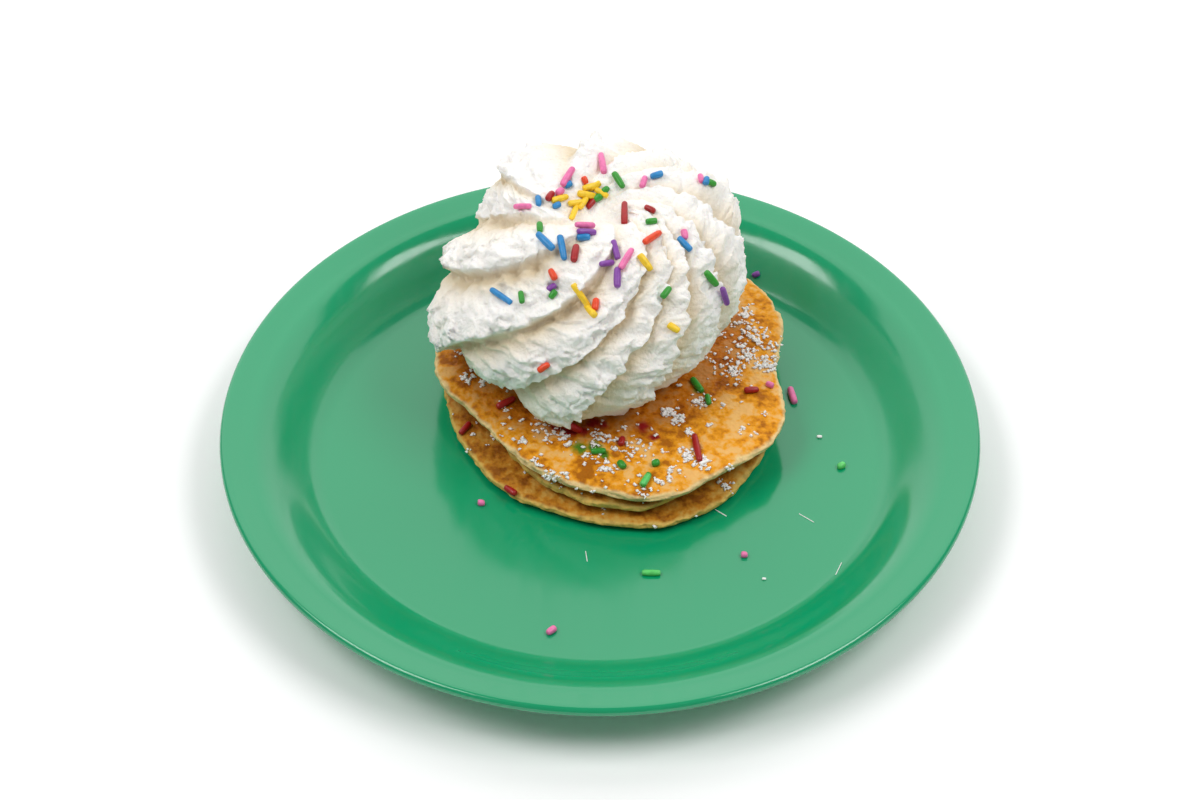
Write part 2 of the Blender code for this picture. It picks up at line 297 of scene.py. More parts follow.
def ball(columns, rings):
    """Faces of a sphere's grid, and each point's turn (0 to 1) and fall (0 at the top, 1 below)."""
    row, column = np.divmod(np.arange(columns * (rings - 1)), columns)
    turn = np.concatenate([[0.0], column / columns, [0.0]])
    fall = np.concatenate([[0.0], (row + 1.0) / rings, [1.0]])
    faces = []
    for ring in range(rings):
        above = 1 + (ring - 1) * columns
        below = above + columns
        for step in range(columns):
            after = (step + 1) % columns
            if ring == 0:
                faces.append((0, below + step, below + after))
            elif ring == rings - 1:
                faces.append((above + step, len(turn) - 1, above + after))
            else:
                faces.append((above + step, below + step, below + after, above + after))
    return faces, turn, fall


def finish_mesh(name, points, faces, attributes):
    """A smooth mesh with one float attribute for each named array."""
    mesh = bpy.data.meshes.new(name)
    mesh.from_pydata(np.asarray(points, float).tolist(), [], faces)
    for key, values in attributes.items():
        attribute = mesh.attributes.new(key, "FLOAT", "POINT")
        attribute.data.foreach_set("value", np.asarray(values, np.float32))
    mesh.shade_smooth()
    mesh.update()
    return mesh


def add_node(tree, kind, links=None, values=None, **settings):
    """A node with its settings, input values, and inputs linked from (node, output) pairs."""
    made = tree.nodes.new("ShaderNode" + kind)
    for key, value in settings.items():
        setattr(made, key, value)
    for key, value in (values or {}).items():
        made.inputs[key].default_value = value
    for key, (source, output) in (links or {}).items():
        tree.links.new(source.outputs[output], made.inputs[key])
    return made


def new_material(name):
    """An empty material with its tree, shader and output."""
    material = bpy.data.materials.new(name)
    material.use_nodes = True
    tree = material.node_tree
    tree.nodes.clear()
    shader = add_node(tree, "BsdfPrincipled")
    add_node(tree, "OutputMaterial", links={"Surface": (shader, "BSDF")})
    return material, tree, shader


def feed(tree, shader, **links):
    """Links (node, output) pairs to the shader's inputs; an underscore stands for a space."""
    for key, (source, output) in links.items():
        tree.links.new(source.outputs[output], shader.inputs[key.replace("_", " ")])


def set_stops(ramp, stops):
    """Gives a colour ramp its (place, linear colour) stops."""
    elements = ramp.color_ramp.elements
    while len(elements) > 1:
        elements.remove(elements[-1])
    elements[0].position = stops[0][0]
    elements[0].color = (*stops[0][1], 1.0)
    for place, colour in stops[1:]:
        elements.new(place).color = (*colour, 1.0)


def melamine_material(colour):
    """Moulded melamine: a hard, dense, glossy plastic that shows a clear reflection."""
    material, tree, shader = new_material("moulded_melamine")
    where = add_node(tree, "TexCoord")
    cloud = add_node(
        tree, "TexNoise", links={"Vector": (where, "Object")}, values={"Scale": 9.0, "Detail": 2.0}
    )
    tint = add_node(tree, "ValToRGB", links={"Fac": (cloud, "Fac")})
    set_stops(tint, [(0.3, [c * 0.97 for c in colour]), (0.7, [c * 1.03 for c in colour])])
    # Knife and fork marks are about 0.3 mm wide. They are drawn some 3 mm wide, to show in the gloss.
    stretch = add_node(
        tree, "Mapping", links={"Vector": (where, "Object")}, values={"Scale": (300.0, 14.0, 60.0)}
    )
    marks = add_node(
        tree, "TexNoise", links={"Vector": (stretch, "Vector")}, values={"Scale": 1.0, "Detail": 3.0}
    )
    gloss = add_node(
        tree, "MapRange", links={"Value": (marks, "Fac")},
        values={"From Min": 0.45, "From Max": 0.75, "To Min": 0.12, "To Max": 0.20},
    )
    ripple = add_node(
        tree, "TexNoise", links={"Vector": (where, "Object")}, values={"Scale": 60.0, "Detail": 1.0}
    )
    bump = add_node(
        tree, "Bump", links={"Height": (ripple, "Fac")}, values={"Strength": 0.04, "Distance": 0.0004}
    )
    feed(tree, shader, Base_Color=(tint, "Color"), Roughness=(gloss, "Result"), Normal=(bump, "Normal"))
    shader.inputs["IOR"].default_value = 1.65
    return material


def batter_material(name, browned, pale):
    """Griddled batter: a smooth browned skin on the faces and pale porous crumb at the sides."""
    material, tree, shader = new_material(name)
    where = add_node(tree, "TexCoord")
    brown = add_node(tree, "Attribute", attribute_name="brown")
    damp_and_shade = add_node(tree, "Attribute", attribute_name="damp_and_shade")
    broad = add_node(
        tree, "TexNoise", links={"Vector": (where, "Object")}, values={"Scale": 110.0, "Detail": 5.0}
    )
    grain = add_node(
        tree, "TexNoise", links={"Vector": (where, "Object")}, values={"Scale": 420.0, "Detail": 4.0}
    )
    mottle = add_node(
        tree, "Math", operation="MULTIPLY_ADD",
        links={0: (grain, "Fac"), 2: (broad, "Fac")}, values={1: 0.7},
    )
    skin = add_node(tree, "ValToRGB", links={"Fac": (mottle, "Value")})
    set_stops(skin, [
        (0.68, [c * t for c, t in zip(browned, (0.5, 0.38, 0.3))]),
        (0.78, [c * t for c, t in zip(browned, (0.82, 0.74, 0.6))]),
        (0.86, browned), (0.98, mix(np.array(browned), np.array(pale), 0.5)),
    ])
    crumb = add_node(tree, "ValToRGB", links={"Fac": (grain, "Fac")})
    set_stops(crumb, [(0.35, [c * 0.72 for c in pale]), (0.55, pale)])
    body = add_node(
        tree, "Mix", data_type="RGBA",
        links={"Factor": (brown, "Fac"), "A": (crumb, "Color"), "B": (skin, "Color")},
    )
    # Near the cream the skin is multiplied darker, partly for dampness and partly as painted shade.
    soaked_and_shaded = add_node(
        tree, "Mix", data_type="RGBA", blend_type="MULTIPLY",
        links={"Factor": (damp_and_shade, "Fac"), "A": (body, "Result")},
        values={"B": (*srgb("b07a4a"), 1.0)},
    )
    red = add_node(tree, "Attribute", attribute_name="red_stain")
    green = add_node(tree, "Attribute", attribute_name="green_stain")
    dyed = add_node(
        tree, "Mix", data_type="RGBA",
        links={"Factor": (red, "Fac"), "A": (soaked_and_shaded, "Result")}, values={"B": (*srgb("8e1418"), 1.0)},
    )
    dyed = add_node(
        tree, "Mix", data_type="RGBA",
        links={"Factor": (green, "Fac"), "A": (dyed, "Result")}, values={"B": (*srgb("4c7a1c"), 1.0)},
    )
    pores = add_node(
        tree, "TexVoronoi", links={"Vector": (where, "Object")}, values={"Scale": 700.0}
    )
    height = add_node(
        tree, "Math", operation="MULTIPLY_ADD",
        links={0: (grain, "Fac"), 2: (pores, "Distance")}, values={1: 1.5},
    )
    bump = add_node(
        tree, "Bump", links={"Height": (height, "Value")}, values={"Strength": 0.45, "Distance": 0.0006}
    )
    sheen = add_node(
        tree, "MapRange", links={"Value": (damp_and_shade, "Fac")}, values={"To Min": 0.62, "To Max": 0.34}
    )
    feed(tree, shader, Base_Color=(dyed, "Result"), Roughness=(sheen, "Result"), Normal=(bump, "Normal"))
    shader.inputs["IOR"].default_value = 1.42
    shader.inputs["Specular IOR Level"].default_value = 0.2
    shader.inputs["Subsurface Weight"].default_value = 0.12
    shader.inputs["Subsurface Radius"].default_value = (0.9, 0.5, 0.25)
    shader.inputs["Subsurface Scale"].default_value = 0.002
    return material


def cream_material(colour):
    """Whipped dairy cream: a dense white foam, so light runs a few millimetres inside it."""
    material, tree, shader = new_material("whipped_dairy_cream")
    where = add_node(tree, "TexCoord")
    froth = add_node(
        tree, "TexNoise", links={"Vector": (where, "Object")}, values={"Scale": 900.0, "Detail": 4.0}
    )
    fat = add_node(
        tree, "TexNoise", links={"Vector": (where, "Object")}, values={"Scale": 45.0, "Detail": 2.0}
    )
    valley = add_node(tree, "Attribute", attribute_name="valley")
    depth = add_node(
        tree, "Math", operation="MULTIPLY_ADD",
        links={0: (fat, "Fac"), 2: (valley, "Fac")}, values={1: 0.5},
    )
    # Valleys are painted darker and warmer as painted shade; a broad noise adds uneven tone to the
    # cream.
    tint = add_node(tree, "ValToRGB", links={"Fac": (depth, "Value")})
    set_stops(tint, [
        (0.25, colour), (0.55, [c * t for c, t in zip(colour, (0.95, 0.91, 0.84))]),
        (1.0, [c * t for c, t in zip(colour, (0.80, 0.70, 0.53))]),
    ])
    bump = add_node(
        tree, "Bump", links={"Height": (froth, "Fac")}, values={"Strength": 0.8, "Distance": 0.0008}
    )
    feed(tree, shader, Base_Color=(tint, "Color"), Normal=(bump, "Normal"))
    shader.inputs["Roughness"].default_value = 0.5
    shader.inputs["IOR"].default_value = 1.4
    shader.inputs["Subsurface Weight"].default_value = 0.2
    shader.inputs["Subsurface Radius"].default_value = (1.0, 0.8, 0.6)
    shader.inputs["Subsurface Scale"].default_value = 0.0012
    return material


def sprinkle_material(name, colour):
    """Glazed sugar paste: soft-edged gloss over an even colour, a little chalky where it is rubbed."""
    material, tree, shader = new_material("glazed_sugar_paste_" + name)
    where = add_node(tree, "TexCoord")
    chalk = add_node(
        tree, "TexNoise", links={"Vector": (where, "Object")}, values={"Scale": 700.0, "Detail": 3.0}
    )
    tint = add_node(tree, "ValToRGB", links={"Fac": (chalk, "Fac")})
    set_stops(tint, [(0.35, [c * 0.82 for c in colour]), (0.6, colour)])
    gloss = add_node(
        tree, "MapRange", links={"Value": (chalk, "Fac")}, values={"To Min": 0.25, "To Max": 0.45}
    )
    bump = add_node(
        tree, "Bump", links={"Height": (chalk, "Fac")}, values={"Strength": 0.15, "Distance": 0.0003}
    )
    feed(tree, shader, Base_Color=(tint, "Color"), Roughness=(gloss, "Result"), Normal=(bump, "Normal"))
    shader.inputs["IOR"].default_value = 1.5
    return material


def sugar_material(colour):
    """Powdered sugar: matt white clumps that pass a little light."""
    material, tree, shader = new_material("powdered_sugar")
    where = add_node(tree, "TexCoord")
    clump = add_node(
        tree, "TexNoise", links={"Vector": (where, "Object")}, values={"Scale": 1500.0, "Detail": 2.0}
    )
    tint = add_node(tree, "ValToRGB", links={"Fac": (clump, "Fac")})
    set_stops(tint, [(0.3, [c * 0.96 for c in colour]), (0.6, colour)])
    bump = add_node(
        tree, "Bump", links={"Height": (clump, "Fac")}, values={"Strength": 0.3, "Distance": 0.0002}
    )
    feed(tree, shader, Base_Color=(tint, "Color"), Normal=(bump, "Normal"))
    shader.inputs["Roughness"].default_value = 0.75
    shader.inputs["IOR"].default_value = 1.5
    shader.inputs["Subsurface Weight"].default_value = 0.3
    shader.inputs["Subsurface Radius"].default_value = (0.5, 0.5, 0.5)
    shader.inputs["Subsurface Scale"].default_value = 0.0005
    return material


def paper_material(colour):
    """Seamless studio paper: matt and even."""
    material, tree, shader = new_material("seamless_paper")
    where = add_node(tree, "TexCoord")
    fibre = add_node(
        tree, "TexNoise", links={"Vector": (where, "Object")}, values={"Scale": 800.0, "Detail": 2.0}
    )
    bump = add_node(
        tree, "Bump", links={"Height": (fibre, "Fac")}, values={"Strength": 0.05, "Distance": 0.0001}
    )
    feed(tree, shader, Normal=(bump, "Normal"))
    shader.inputs["Base Color"].default_value = (*colour, 1.0)
    shader.inputs["Roughness"].default_value = 0.9
    return material


# ---------------------------------------------------------------- plate


def plate_top(radius):
    """Height of the plate's upper face at an array of radii."""
    wall = (radius - WELL_RADIUS) / (SHOULDER_RADIUS - WELL_RADIUS)
    rim = np.clip((radius - SHOULDER_RADIUS) / (PLATE_RADIUS - SHOULDER_RADIUS), 0.0, 1.0)
    return mix(WELL_FLOOR, SHOULDER_HEIGHT, ease(wall)) + (RIM_HEIGHT - SHOULDER_HEIGHT) * rim


def plate_profile():
    """Half section from the middle of the well over the rim to the middle of the underside."""
    lip = PLATE_WALL / 2.0
    rim_end = PLATE_RADIUS - lip
    radii = np.concatenate([
        np.linspace(0.0, WELL_RADIUS, 8)[:-1], np.linspace(WELL_RADIUS, SHOULDER_RADIUS, 40),
        np.linspace(SHOULDER_RADIUS, rim_end, 6)[1:-1],
    ])
    top = list(zip(radii, plate_top(radii)))
    turn = np.linspace(math.pi / 2.0, -math.pi / 2.0, 14)
    edge = float(plate_top(np.array([rim_end]))[0]) - lip
    top += list(zip(rim_end + lip * np.cos(turn), edge + lip * np.sin(turn)))
    under = np.linspace(SHOULDER_RADIUS, WELL_RADIUS, 30)
    top += list(zip(under + 0.4 * MM, plate_top(under) - PLATE_WALL))
    top += [
        (FOOT_RADIUS + 1.0 * MM, WELL_FLOOR - PLATE_WALL), (FOOT_RADIUS + 0.3 * MM, 0.4 * MM),
        (FOOT_RADIUS, 0.0), (FOOT_RADIUS - FOOT_WIDTH, 0.0),
        (FOOT_RADIUS - FOOT_WIDTH - 0.3 * MM, 0.4 * MM),
        (FOOT_RADIUS - FOOT_WIDTH - 1.0 * MM, RECESS_HEIGHT), (0.0, RECESS_HEIGHT),
    ]
    return top


def make_plate(settings):
    """The plate turned from its section, finer than the solid it stands for."""
    points = plate_profile()
    mesh = bpy.data.meshes.new("melamine_plate")
    mesh.from_pydata(
        [(r, 0.0, z) for r, z in points], [(i, i + 1) for i in range(len(points) - 1)], []
    )
    plate = link_object("melamine_plate", mesh, melamine_material(settings.colour))
    screw = plate.modifiers.new("turn", "SCREW")
    screw.steps = settings.steps
    screw.render_steps = settings.steps
    screw.use_merge_vertices = True
    screw.merge_threshold = 0.00001
    screw.use_smooth_shade = True
    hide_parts("plate")
    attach(plate, "root")


# ---------------------------------------------------------------- pancakes


def outline_of(node, bearings):
    """Distance from the stack's middle to the node's edge at each bearing, read from the frame."""
    low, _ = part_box(node)
    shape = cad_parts[node].data
    tree = BVHTree.FromPolygons([v.co for v in shape.vertices], [p.vertices for p in shape.polygons])
    # The widest level of the round edge lies half the edge's thickness above its lowest point.
    height = low.z + EDGE_THICKNESS / 2.0
    reach = []
    for bearing in bearings:
        outward = Vector((math.cos(bearing), math.sin(bearing), 0.0))
        start = Vector((*PANCAKE_CENTRE, height)) + outward * PLATE_RADIUS
        hit = tree.ray_cast(start, -outward)
        if hit[0] is None:
            raise RuntimeError(f"{node} has no edge at {math.degrees(bearing):.0f} degrees")
        reach.append((hit[0].xy - PANCAKE_CENTRE).length)
    return np.array(reach)


def stain(x, y, spots, blot):
    """Strength from 0 to 1 of the dye of a few (x, y, radius) spots, with an uneven edge."""
    strength = np.zeros_like(x)
    for spot_x, spot_y, radius in spots:
        away = np.hypot(x - spot_x * MM, y - spot_y * MM) + blot
        strength = np.maximum(strength, ease(1.6 - 1.2 * away / (radius * MM)))
    return strength


def smooth_edge(node, columns, turn):
    """The node's outline with its facets rounded off, read at each point's turn."""
    edges = outline_of(node, np.arange(columns) / columns * math.tau)
    smoothing = np.array([1.0, 4.0, 6.0, 4.0, 1.0]) / 16.0
    for _ in range(6):
        padded = np.concatenate([edges[-2:], edges, edges[:2]])
        edges = np.convolve(padded, smoothing, mode="valid")
    return np.interp(turn * columns, np.arange(columns + 1), np.append(edges, edges[0]))


def pancake_shape(node, seed, columns, turn, fall):
    """Points of a pancake with a crumpled edge and a lightly uneven face, and its skin's values."""
    low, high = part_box(node)
    bearing = turn * math.tau
    edge = smooth_edge(node, columns, turn)
    round_x = np.cos(bearing)
    round_y = np.sin(bearing)
    level = np.sin(fall * math.pi)
    side = np.cos(fall * math.pi)
    reach = np.maximum(level, 0.0) ** 0.5
    side = np.sign(side) * np.abs(side) ** 0.5
    # Edges crumple: ripples 11 mm and 4 mm long push in and out.
    rim = np.stack([round_x, round_y, np.zeros_like(turn)], 1) * RIM_SPAN
    ripple = fractal(rim + seed, 0.011, 3)
    crumple = fractal(np.stack([rim[:, 0], rim[:, 1], side * 0.004], 1) + seed * 2.0, 0.004, 3)
    radius = reach * edge + ease(reach * 3.0 - 2.0) * (0.8 * ripple + 0.6 * crumple) * MM
    inward = 1.0 - ease(radius / DOME_RADIUS)
    rise = high.z - low.z - EDGE_THICKNESS
    top = low.z + EDGE_THICKNESS + rise * inward
    x = PANCAKE_CENTRE.x + radius * round_x
    y = PANCAKE_CENTRE.y + radius * round_y
    flat = np.stack([x, y, np.full_like(x, seed)], 1)
    swell = 0.35 * fractal(flat, 0.016, 2) + 0.25 * fractal(flat + 3.0, 0.003, 3)
    upper = ease(side * 2.0)
    z = mix(low.z, top, 0.5 + 0.5 * side)
    z += upper * swell * MM * (0.25 + 0.75 * ease(reach * 2.0 - 0.8))
    z += (1.0 - np.abs(side)) * 0.5 * MM * crumple
    patch = fractal(np.stack([x, y, side * 0.003], 1) + seed, 0.005, 4)
    brown = ease((np.abs(side) + 0.08 * patch - 0.42) / 0.16)
    near = np.hypot(x - CREAM_AXIS.x, y - CREAM_AXIS.y)
    # Upper faces near the cream are darkened: partly dampness, partly painted shade beside the cream.
    damp_and_shade = upper * ease(1.0 - (near - DAMP_AND_SHADE_RADIUS) / DAMP_AND_SHADE_FADE) * 0.65
    blot = 0.9 * fractal(np.stack([x, y, np.zeros_like(x)], 1), 0.002, 2) * MM
    on_top = upper * (node == "pancake_top")
    # One darker bump stands beside the cream.
    bump = on_top * ease(1.0 - np.hypot(x - BUMP_PLACE.x, y - BUMP_PLACE.y) / BUMP_RADIUS)
    z += BUMP_HEIGHT * bump
    damp_and_shade = np.maximum(damp_and_shade, 0.9 * bump)
    return np.stack([x, y, z], 1), {
        "brown": brown, "damp_and_shade": damp_and_shade,
        "red_stain": on_top * stain(x, y, RED_STAINS, blot),
        "green_stain": on_top * stain(x, y, GREEN_STAINS, blot),
    }


def make_pancake(node, seed, settings):
    """A pancake with a browned skin and a pale edge."""
    faces, turn, fall = ball(settings.columns, settings.rings)
    points, values = pancake_shape(node, seed, settings.columns, turn, fall)
    mesh = finish_mesh(node + "_skin", points, faces, values)
    browned, pale = settings.browned, settings.pale
    # The lower pancakes take darker colours: browner batter and partly painted shade under the top one.
    if node != "pancake_top":
        browned, pale = settings.lower_browned_and_shaded, settings.lower_pale_and_shaded
    material = batter_material("griddled_batter_" + node, browned, pale)
    pancake = link_object(node + "_skin", mesh, material)
    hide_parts(node)
    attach(pancake, "root")


# ---------------------------------------------------------------- whipped cream


def ridge_height(phase, valley):
    """0 in the valley and 1 on the ridge: a steep drop after a ridge, then a climb to a broad crest."""
    drop = 0.5 + 0.5 * np.cos(math.pi * np.clip(phase / valley, 0.0, 1.0))
    share = np.clip((phase - valley) / (1.0 - valley), 0.0, 1.0)
    climb = np.sin(np.minimum(share * 1.5, 1.0) * math.pi / 2.0)
    return np.where(phase < valley, drop, climb)


def section_point(climb, sink):
    """Distance from the axis and height on the section, sunk along its normal."""
    radii = np.array([r for r, _ in CREAM_SECTION]) * MM
    heights = np.array([z for _, z in CREAM_SECTION]) * MM
    step = 0.01
    low, high = np.maximum(climb - step, 0.0), np.minimum(climb + step, 1.0)
    run = along(radii, high) - along(radii, low)
    rise = along(heights, high) - along(heights, low)
    length = np.hypot(run, rise)
    radius = along(radii, climb) - sink * rise / length
    height = along(heights, climb) + sink * run / length
    return np.maximum(radius, 0.0), height


def ridge_values(place, column):
    """One column of RIDGES at the ridge before each place round the swirl and at the ridge after it."""
    values = np.array([row[column] for row in RIDGES] + [RIDGES[0][column]], float)
    if column < 3:
        values[-1] += 360.0
    index = np.minimum(place.astype(int), len(RIDGES) - 1)
    return values[index], values[index + 1]


def cream_point(turn, climb):
    """Places of points on the swirl, and how deep in a valley each lies."""
    place = turn * len(RIDGES)
    phase = place - np.minimum(place.astype(int), len(RIDGES) - 1)
    blend = ease(phase)
    starts = [ridge_values(place, column) for column in range(3)]
    starts.append([bearing + HOLLOW_TURN for bearing in starts[2]])
    before, after = (curve_through([pair[side] for pair in starts], climb) for side in (0, 1))
    reaches = [mix(*ridge_values(place, column), blend) for column in range(3, 6)]
    reach = curve_through([*reaches, np.ones_like(climb)], climb)
    height, lift = (mix(*ridge_values(place, column), blend) for column in (6, 7))
    growth = along(RIDGE_GROWTH, climb)
    ridge = ridge_height(phase, RIDGE_VALLEY)
    radius, _ = section_point(climb, np.zeros_like(climb))
    width = np.radians(after - before) * radius
    depth = np.minimum(height * MM, 0.4 * width) * growth
    # The froth's lumps and tears are laid out over the plain swirl, in metres.
    angle = np.radians(mix(before, after, phase))
    flat = np.stack([radius * np.cos(angle), radius * np.sin(angle), 0.11 * climb], 1)
    flat += 0.004 * np.stack([fractal(flat + 5.0 * k, 0.014, 2) for k in range(1, 4)], 1)
    broad = fractal(flat + 4.0, 0.024, 1)
    lumps = 0.45 - np.abs(fractal(flat, 0.012, 2))
    pillows = 0.35 - np.abs(fractal(flat + 1.0, 0.0055, 2))
    ragged = fractal(flat + 2.0, 0.006, 3)
    froth = fractal(flat + 3.0, 0.0025, 3)
    # Ridges come and go along their run.
    depth *= 0.85 + 0.45 * np.clip(fractal(flat + 6.0, 0.013, 2), -1.0, 0.4)
    sink = depth * (1.0 - ridge)
    sink -= growth * MM * (
        1.6 * broad + 2.2 * lumps + 1.2 * pillows + 1.5 * ragged * ridge**2 + 0.5 * froth
    )
    radius, rise = section_point(climb, sink)
    radius *= reach
    rise += lift * MM * ease((climb - 0.4) / 0.35) * (1.0 - ease((climb - 0.85) / 0.15))
    lean = (2.5 * ridge**2 + 1.8 * ragged * ridge) * MM * growth / np.maximum(radius, 20.0 * MM)
    return radius, angle + lean, np.maximum(rise, 0.0), (1.0 - ridge) * growth


def make_cream(settings):
    """The piped swirl, with torn ridge edges and froth."""
    faces, turn, fall = ball(settings.columns, settings.rings)
    climb = np.clip(1.0 - fall / CREAM_OUTSIDE, 0.0, 1.0)
    radius, angle, rise, valley = cream_point(turn, climb)
    radius *= np.clip((1.0 - fall) / (1.0 - CREAM_OUTSIDE), 0.0, 1.0)
    x = CREAM_AXIS.x + radius * np.cos(angle)
    y = CREAM_AXIS.y + radius * np.sin(angle)
    z = CREAM_LOW.z - CREAM_SINK + rise
    # The valley values carry the painted shade in the cream's valleys.
    mesh = finish_mesh("cream_swirl", np.stack([x, y, z], 1), faces, {"valley": valley})
    swirl = link_object("cream_swirl", mesh, cream_material(settings.colour))
    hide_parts("whipped_cream")
    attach(swirl, "root")


# ---------------------------------------------------------------- toppings


def surfaces():
    """A search tree for each piece that toppings can land on."""
    bpy.context.view_layer.update()
    graph = bpy.context.evaluated_depsgraph_get()
    names = ["melamine_plate", "pancake_bottom_skin", "pancake_middle_skin", "pancake_top_skin"]
    return [BVHTree.FromObject(bpy.data.objects[name], graph) for name in (*names, "cream_swirl")]


def thrown(trees, across, up):
    """(point, normal, tree's number) where something thrown from this place on the sheet lands."""
    start = Vector((across * MM, 0.0, 0.0)) + SHEET_UP * up * MM - THROW * THROW_LENGTH
    hits = [(*tree.ray_cast(start, THROW), number) for number, tree in enumerate(trees)]
    hits = [hit for hit in hits if hit[0] is not None]
    if not hits:
        raise RuntimeError(f"nothing lies under the topping at {across}, {up}")
    point, normal, _, _, number = min(hits, key=lambda hit: hit[3])
    return point, normal, number


def lying(trees, across, up, turn, length):
    """Middle, run and upward direction of a straight thing that rests on what is under its two ends."""
    angle = math.radians(turn)
    half = (math.cos(angle) * length / 2.0, math.sin(angle) * length / 2.0)
    start, _, _ = thrown(trees, across - half[0], up - half[1])
    end, _, _ = thrown(trees, across + half[0], up + half[1])
    under, normal, _ = thrown(trees, across, up)
    heading = Vector((math.cos(angle), 0.0, 0.0)) + SHEET_UP * math.sin(angle)
    steepest = 0.9 * length * MM
    run = heading * length * MM
    run += THROW * max(-steepest, min(steepest, (end - start).dot(THROW)))
    # A bulge between the middle and an end lifts the whole thing.
    lift = 0.0
    for share in (-0.36, -0.18, 0.18, 0.36):
        spot, _, _ = thrown(trees, across + 2.0 * half[0] * share, up + 2.0 * half[1] * share)
        lift = max(lift, (under + run * share - spot).dot(THROW))
    return under - THROW * min(0.8 * lift, 1.5 * MM), run, normal


def rod(points, faces, middle, run, above, radius, wobble):
    """Adds a round-ended rod, slightly bent and uneven, to lists of points and faces."""
    sides, steps = 10, 9
    forward = run.normalized()
    across = above.cross(forward).normalized()
    above = forward.cross(across)
    half = max(run.length / 2.0 - radius, 0.0)
    first = len(points)
    for step in range(steps + 1):
        share = step / steps
        cap = math.cos(share * math.pi)
        # The two ends are round and the middle is straight.
        place = -half * max(-1.0, min(1.0, cap * 1.8)) - radius * cap
        girth = radius * max(math.sin(share * math.pi) ** 0.5, 0.05)
        girth *= 1.0 + 0.08 * math.sin(wobble + 4.0 * share)
        bend = 0.12 * radius * math.sin(share * math.pi + wobble)
        centre = middle + forward * place + across * bend
        for side in range(sides):
            angle = side / sides * math.tau
            outward = across * math.cos(angle) + above * math.sin(angle)
            points.append(centre + outward * girth)
    for step in range(steps):
        for side in range(sides):
            corner = first + step * sides + side
            after = first + step * sides + (side + 1) % sides
            faces.append((corner, after, after + sides, corner + sides))
    faces.append(tuple(first + side for side in reversed(range(sides))))
    faces.append(tuple(first + steps * sides + side for side in range(sides)))


def topping(name, points, faces, material):
    """A piece made of many small things, riding on the plate's body."""
    mesh = bpy.data.meshes.new(name)
    mesh.from_pydata([tuple(point) for point in points], [], faces)
    mesh.shade_smooth()
    piece = link_object(name, mesh, material)
    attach(piece, "root")


def make_sprinkles(settings):
    """One piece of rod-shaped sugar sprinkles for each colour."""
    trees = surfaces()
    draw = random.Random(7)
    for name, rows in SPRINKLES.items():
        points, faces = [], []
        for across, up, turn, length in rows:
            radius = SPRINKLE_RADIUS * draw.uniform(0.94, 1.06)
            under, run, normal = lying(trees, across, up, turn, length)
            middle = under + normal * radius * 0.7
            rod(points, faces, middle, run, normal, radius, draw.uniform(0.0, 6.0))
        material = sprinkle_material(name, getattr(settings, name))
        topping("sprinkles_" + name, points, faces, material)


def grain(points, faces, middle, size, draw):
    """Adds an uneven flat flake, an octahedron with each corner pushed in or out."""
    first = len(points)
    for axis in range(3):
        for sign in (-1.0, 1.0):
            corner = Vector((0.0, 0.0, 0.0))
            corner[axis] = sign * size * draw.uniform(0.35, 0.75)
            corner += Vector([draw.uniform(-0.2, 0.2) * size for _ in range(3)])
            corner.z *= 0.6
            points.append(middle + corner)
    for x in (0, 1):
        for y in (2, 3):
            for z in (4, 5):
                outward = (x == 1) ^ (y == 3) ^ (z == 5)
                order = (x, y, z) if outward else (x, z, y)
                faces.append(tuple(first + corner for corner in order))


def make_sugar(settings):
    """Powdered sugar on the pancakes, and white crumbs and threads on the plate."""
    trees = surfaces()
    draw = random.Random(11)
    points, faces = [], []
    for across, up, spread, count in SUGAR_PATCHES:
        for _ in range(int(count * settings.amount)):
            # Grains gather in little clumps; those that miss the pancakes are left out.
            place = (draw.gauss(across, spread * 0.6), draw.gauss(up, spread * 0.45))
            size = draw.uniform(*settings.grain_sizes) * draw.uniform(0.7, 1.0)
            for _ in range(draw.choice((1, 2, 3))):
                spot = (place[0] + draw.gauss(0.0, 0.3), place[1] + draw.gauss(0.0, 0.22))
                point, normal, number = thrown(trees, *spot)
                if number in (1, 2, 3):
                    grain(points, faces, point + normal * size * 0.25, size, draw)
    topping("powdered_sugar", points, faces, sugar_material(settings.colour))
    points, faces = [], []
    for across, up, turn, length, radius in CRUMBS:
        under, run, normal = lying(trees, across, up, turn, length)
        rod(points, faces, under + normal * radius * 0.7 * MM, run, normal, radius * MM, 1.0)
    topping("white_crumbs", points, faces, sugar_material(settings.colour))


# ---------------------------------------------------------------- stage


def add_light(name, location, size, power):
    """A soft rectangular light that faces the stack."""
    light = bpy.data.lights.new(name, "AREA")
    light.shape = "RECTANGLE"
    light.size, light.size_y = size
    light.energy = power
    lamp = bpy.data.objects.new(name, light)
    lamp.location = location
    lamp.rotation_euler = (Vector(LIGHT_TARGET) - Vector(location)).to_track_quat("-Z", "Y").to_euler()
    bpy.context.scene.collection.objects.link(lamp)


